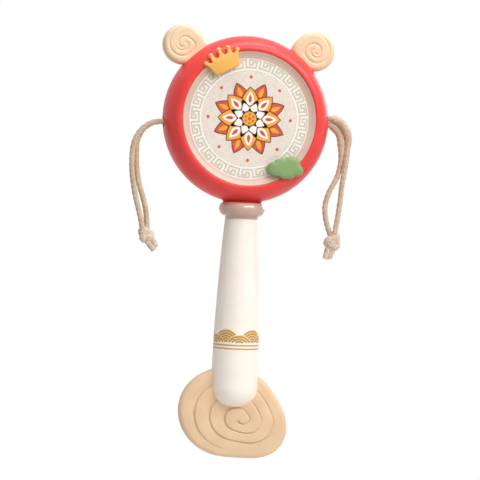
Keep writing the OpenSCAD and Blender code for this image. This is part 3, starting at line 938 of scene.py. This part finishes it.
# Each strand's way from its hole: outward, back and up
ROUTES = {
    "left_front": [(0.3, -1.6, 0), (5.3, -1.6, -0.8), (9.5, -1.6, -3.2), (12.4, -1.6, -6.5),
                   (14.5, -1.5, -10.7), (15.4, -1, -15.2), (15.6, -1, -20.6), (15.3, -0.8, -27),
                   (14.3, -0.3, -33.4), (12.9, -0.3, -40), (11.2, -0.5, -46.3), (9.5, -1.1, -52.7),
                   (8.5, -1.1, -58)],
    "left_back": [(0.3, 1.6, 0), (5.2, 1.6, -1), (9.1, 1.6, -3.6), (11.2, 1.6, -6.5), (12.9, 1.5, -11.2),
                  (13.1, 1.1, -16.1), (13, 1, -21.5), (12.2, 0.8, -28), (10.9, 0.3, -34.4), (8.8, 0.3, -40.8),
                  (7.2, 0.5, -46.3), (6.2, 1.1, -52), (5.8, 1.1, -58)],
    "right_front": [(0.3, -0.2, 1.6), (3.8, -0.5, 1.2), (7.2, -0.8, -0.6), (10, -0.8, -4), (11.7, -0.7, -9.6),
                    (11.5, -0.6, -14.6), (11.1, -0.8, -20), (10.4, -1.1, -25), (9.8, -0.9, -29.5),
                    (9.2, -0.3, -35), (8.9, 0, -40.6), (8.4, 0, -46), (7.7, -0.3, -51.5), (6.8, -0.8, -56.5),
                    (6.3, -1.2, -61)],
    "right_back": [(0.3, 0.2, -1.6), (3.2, 0.5, -2.8), (6.1, 0.8, -5.4), (7.6, 0.8, -8.4), (8.4, 0.7, -14.7),
                   (8.4, 0.8, -20), (7.9, 1.1, -25), (6.7, 0.9, -29.5), (4.8, 0.3, -33.6), (2.4, 0, -38.2),
                   (0.9, 0, -43.2), (0.5, 0, -47.5), (1.2, 0.3, -52.4), (2.6, 0.8, -57), (4.2, 1.2, -61)],
}
# Each knot's middle and the end of its tails, from the hole
KNOTS = {"left": ((6.4, 0, -61), (1.5, 0, -67.5)), "right": ((5.6, 0, -64.6), (3.2, 0, -73.4))}


def from_mouth(side, p):
    """A point given outward from a cord hole."""
    return Vector((side * (DRUM_R + p[0]), p[1], MOUTH_Z[side] + p[2]))


def curve_through(points, step):
    """A smooth line through points, as evenly spaced points."""
    ends = [2 * points[0] - points[1]] + points + [2 * points[-1] - points[-2]]
    fine = []
    for a, b, c, d in zip(ends, ends[1:], ends[2:], ends[3:]):
        for i in range(40):
            t = i / 40
            fine.append(0.5 * (2 * b + (c - a) * t + (2 * a - 5 * b + 4 * c - d) * t * t
                               + (3 * b - a - 3 * c + d) * t * t * t))
    fine.append(points[-1])
    even = [fine[0]]
    run = 0
    for a, b in zip(fine, fine[1:]):
        gap = (b - a).length
        while run + gap >= step:
            a = a + (b - a) * ((step - run) / gap)
            even.append(a)
            gap = (b - a).length
            run = 0
        run += gap
    return even


def braid(name, path, along=0.0, radius=CORD_D / 2, swell=0.0, relief=RELIEF, yarn=COTTON):
    """A braided yarn along a line: crossing plaits on a round core, thicker near the drum by swell."""
    steps = 28
    verts = []
    side = (path[1] - path[0]).orthogonal().normalized()
    run = along
    for i, p in enumerate(path):
        way = (path[min(i + 1, len(path) - 1)] - path[max(i - 1, 0)]).normalized()
        side = (side - way * side.dot(way)).normalized()
        other = way.cross(side)
        if i:
            run += (p - path[i - 1]).length
        size = radius + swell * max(0, min(1, (run - 5) / 3, (28 - run) / 9))
        for k in range(steps):
            a = TURN * k / steps
            one = math.cos(PLAITS * a + run * PLAIT_TURN)
            two = math.cos(PLAITS * a - run * PLAIT_TURN)
            r = size - relief + relief * max(one, two)
            verts.append(p + r * (side * math.cos(a) + other * math.sin(a)))
    faces = ring_faces(len(path), steps)
    faces.append(tuple(range(steps)))
    faces.append(tuple((len(path) - 1) * steps + k for k in range(steps)))
    return make(name, verts, faces, yarn, 70)


SPLIT_OUT = {"left": 6.2, "right": 4.8}
BEND = {"left": (7, 9), "right": (4, 10)}
SWELL = {"left": 0, "right": 0.8}
TWIRL = {"left": (-46.8, 0, 91.8), "right": (46.8, 0, 96.1)}
LIFT = {"left": (-56.9, 0, 85), "right": (54.2, 0, 90)}


def scaled(v):
    """A point in metres."""
    return tuple(x * MM for x in v)


def strand(hand, which, side):
    """One strand in two pieces: from the drum to the neck of the cord, then down to the knot."""
    route = [from_mouth(side, p) for p in ROUTES[hand + "_" + which]]
    inner = route[0] + Vector((-side * 5, 0, 0))
    line = curve_through([inner, inner + Vector((side * 2.5, 0, 0))] + route, CORD_STEP)
    cut_at = next(i for i, p in enumerate(line) if side * p.x > DRUM_R + SPLIT_OUT[hand])
    top = line[:cut_at + 1]
    low = line[cut_at:]
    length = sum((b - a).length for a, b in zip(line, line[1:]))
    above = sum((b - a).length for a, b in zip(top, top[1:]))
    loose = SWELL[hand]
    root = braid("%s_%s_root" % (hand, which), top, 0, CORD_D / 2, loose)
    fall = braid("%s_%s_strand" % (hand, which), low, above, CORD_D / 2, loose)
    pivot = Vector(TWIRL[hand])
    scaled(pivot - Vector((side * 2, 0, 0)))
    scaled(pivot + Vector((side * 2.6, 0, 0)))
    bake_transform(root)
    pivot = Vector(LIFT[hand])
    way = Vector((side * 0.6, 0, -0.8))
    before, after = BEND[hand]
    scaled(pivot - before * way)
    scaled(pivot + after * way)
    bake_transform(fall)
    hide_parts(hand + "_cord_neck")
    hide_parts("%s_cord_%s_strand" % (hand, which))
    return root, fall, low, length - above


KNOT_SIZE = {"left": (0.86, 0.95), "right": (1.1, 1.2)}
WRAP_R, TAIL_R, CORE_R, CORE_HALF = 2, 1.75, 3, 3.4
FIBRES = 70
RUN_END, RUN_OFF = 40.5, 1.6
FRAY_SEED = {"left": 5, "right": 9}


def knot(hand, side):
    """An overhand knot of the doubled cord with two frayed ends."""
    at, tail = [from_mouth(side, p) for p in KNOTS[hand]]
    down = (tail - at).normalized()
    across = Vector((-down.z, 0, down.x))
    wide, tall = KNOT_SIZE[hand]
    loop = []
    for i in range(241):
        t = TURN * i / 240
        x = math.sin(t) + 2 * math.sin(2 * t)
        y = math.cos(t) - 2 * math.cos(2 * t)
        loop.append(at + wide * x * across + tall * y * down + Vector((0, 1.2 * math.sin(3 * t), 0)))
    pieces = [braid(hand + "_knot_wrap", loop, 0, WRAP_R, 0, RELIEF, KNOT)]
    rng = random.Random(FRAY_SEED[hand])
    for s in (-1, 1):
        start = at + across * 1.1 * s + down * 1.5
        end = tail + across * (0.9 * s) + down * (0.5 - 0.4 * s)
        mid = (start + end) / 2 + across * 0.2 * s
        line = curve_through([start, mid, end], CORD_STEP)
        number = (s + 3) // 2
        pieces.append(braid("%s_knot_tail_%d" % (hand, number), line, 0, TAIL_R, 0, RELIEF, KNOT))
        pieces.append(fray("%s_knot_fray_%d" % (hand, number), end, down, rng))
    spine = curve_through([at - CORE_HALF * down, at, at + CORE_HALF * down], CORD_STEP)
    pieces.append(braid(hand + "_knot_core", spine, 0, CORE_R, 0, RELIEF, KNOT))
    for piece in pieces:
        dress(piece, "cotton_cord", body=hand + "_striker")
    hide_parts(hand + "_cord_knot")
    return pieces


def fray(name, end, down, rng):
    """Loose fibres at a cut end of the cord."""
    verts = []
    faces = []
    for _ in range(FIBRES):
        a = rng.uniform(0, TURN)
        r = 1.55 * math.sqrt(rng.random())
        across = Vector((-down.z, 0, down.x))
        root = end + r * math.cos(a) * across + Vector((0, r * math.sin(a), 0)) - 0.8 * down
        lean = down + 0.2 * rng.uniform(0.2, 1) * (math.cos(a) * across + Vector((0, math.sin(a), 0)))
        reach = rng.uniform(0.9, 1.5)
        curl = Vector((rng.uniform(-0.4, 0.4), rng.uniform(-0.3, 0.3), rng.uniform(-0.2, 0.2)))
        line = [root + lean * reach * u + curl * u * u for u in (0, 0.35, 0.7, 1)]
        base = len(verts)
        for i, p in enumerate(line):
            w = 0.14 - 0.03 * i
            verts.append(p + Vector((w, 0, 0)))
            verts.append(p + Vector((-w / 2, w * 0.87, 0)))
            verts.append(p + Vector((-w / 2, -w * 0.87, 0)))
        for i in range(3):
            for k in range(3):
                m = (k + 1) % 3
                faces.append((base + 3 * i + k, base + 3 * i + m, base + 3 * i + 3 + m, base + 3 * i + 3 + k))
        faces.append((base, base + 2, base + 1))
        faces.append((base + 9, base + 10, base + 11))
    return make(name, verts, faces, CUT, 70)


def cords():
    """Both hanging cords with their knots, and the run between them inside the drum."""
    for hand, side in (("left", -1), ("right", 1)):
        ends = knot(hand, side)
        for which in ("front", "back"):
            root, fall, low, length = strand(hand, which, side)
            first = ROUTES[hand + "_" + which][0]
            scaled(from_mouth(side, first))
            [scaled(p) for p in low]
    for s, name in ((1, "upper"), (-1, "lower")):
        ends = [Vector((side * RUN_END, 0, MOUTH_Z[side] + s * RUN_OFF)) for side in (-1, 1)]
        line = [ends[0].lerp(ends[1], i / 160) for i in range(161)]
        dress(braid("inner_run_" + name, line), "cotton_cord", "cord_inner_run")


# Camera, light and stage

# The camera's distance is in metres and its angles are in degrees
FIELD_MM = 258.4
DISTANCE = 1.2
SENSOR = 36
AZIMUTH, ELEVATION, ROLL = -9, 0.6, 2.5
AIM = (-0.24, 0, 30.1)
LAMP_AIM = (0, 0, 0.03)
AMBIENT = 0.28
FLOOR_R, FLOOR_Z = 500, -180
FLOOR_GLOW = 0.2


def camera():
    """The camera of the photograph: nearly level, a little to the left and rolled."""
    cam = bpy.data.cameras.new("camera")
    cam.sensor_width = SENSOR
    cam.lens = SENSOR * DISTANCE / (FIELD_MM * MM)
    cam.clip_start = 0.05
    cam.clip_end = 20
    obj = bpy.data.objects.new("camera", cam)
    bpy.context.scene.collection.objects.link(obj)
    a, e = math.radians(AZIMUTH), math.radians(ELEVATION)
    back = Vector((math.sin(a) * math.cos(e), -math.cos(a) * math.cos(e), math.sin(e)))
    obj.location = Vector(AIM) * MM + back * DISTANCE
    turn = (-back).to_track_quat("-Z", "Y").to_matrix().to_4x4()
    obj.rotation_euler = turn.to_euler()
    obj.rotation_euler.rotate_axis("Z", math.radians(ROLL))
    bpy.context.scene.camera = obj


def lamp(name, place, energy, size, colour=(1, 1, 1)):
    """A soft area lamp at a place in metres, turned to the middle of the toy."""
    data = bpy.data.lights.new(name, "AREA")
    data.energy = energy
    data.shape = "RECTANGLE"
    data.size = size
    data.size_y = size * 0.5
    data.color = colour
    obj = bpy.data.objects.new(name, data)
    bpy.context.scene.collection.objects.link(obj)
    obj.location = place
    obj.rotation_euler = (Vector(LAMP_AIM) - Vector(place)).to_track_quat("-Z", "Y").to_euler()


def world():
    """White to the camera and to reflections, a softer level as light."""
    scene_world = bpy.data.worlds.new("studio")
    bpy.context.scene.world = scene_world
    scene_world.use_nodes = True
    nodes = scene_world.node_tree.nodes
    links = scene_world.node_tree.links
    path = nodes.new("ShaderNodeLightPath")
    seen = nodes.new("ShaderNodeMath")
    seen.operation = "MAXIMUM"
    links.new(path.outputs["Is Camera Ray"], seen.inputs[0])
    links.new(path.outputs["Is Glossy Ray"], seen.inputs[1])
    also = nodes.new("ShaderNodeMath")
    also.operation = "MAXIMUM"
    links.new(seen.outputs[0], also.inputs[0])
    links.new(path.outputs["Is Transmission Ray"], also.inputs[1])
    level = nodes.new("ShaderNodeMapRange")
    level.inputs["To Min"].default_value = AMBIENT
    level.inputs["To Max"].default_value = 1.0
    links.new(also.outputs[0], level.inputs["Value"])
    links.new(level.outputs["Result"], nodes["Background"].inputs["Strength"])
    nodes["Background"].inputs["Color"].default_value = (1, 1, 1, 1)


def floor():
    """Plain paper that takes the shadow and looks paler to the camera."""
    paper = moulded("floor_paper", (226, 225, 223), 0.8, 2)
    nodes = paper.node_tree.nodes
    links = paper.node_tree.links
    bsdf = nodes["Principled BSDF"]
    bsdf.inputs["Emission Color"].default_value = (1, 1, 1, 1)
    seen = nodes.new("ShaderNodeLightPath").outputs["Is Camera Ray"]
    links.new(spread(nodes, links, seen, 0, FLOOR_GLOW), bsdf.inputs["Emission Strength"])
    steps = 96
    verts = [(x, y, FLOOR_Z) for x, y in disc(0, 0, FLOOR_R, steps)]
    obj = make("floor", verts, [tuple(range(steps))], paper)


# The whole

bpy.context.scene.view_settings.view_transform = "Standard"
camera()
cords()
shell("front_shell_body", front_place, "front_shell", [])
shell("rear_shell_body", rear_place, "rear_shell", DRUM_SCREWS)
bezel("front_bezel_ring", front_place, "front_bezel")
bezel("rear_bezel_ring", rear_place, "rear_bezel")
print_face("front", 1)
print_face("rear", -1)
crown()
cloud()
ear("left_ear_spiral", -1, "left_ear")
ear("right_ear_spiral", 1, "right_ear")
collar()
half_handle("handle_front", "handle_front_half", -1, [])
half_handle("handle_rear", "handle_rear_half", 1, GRIP_SCREWS)
gold_band()
foot()
for node, material in (("front_drumhead", FIELD), ("rear_drumhead", FIELD), ("drum_screws", STEEL),
                       ("handle_screws", STEEL)):
    for slot in frame["nodes"][node].material_slots:
        slot.material = material
lamp("key", (0.55, -0.85, 0.75), 12.4, 1.15, (1, 0.985, 0.96))
lamp("top", (0.05, -0.12, 0.95), 5.6, 0.8)
lamp("back", (0.5, 1.0, 0.35), 5, 1.0)
world()
floor()
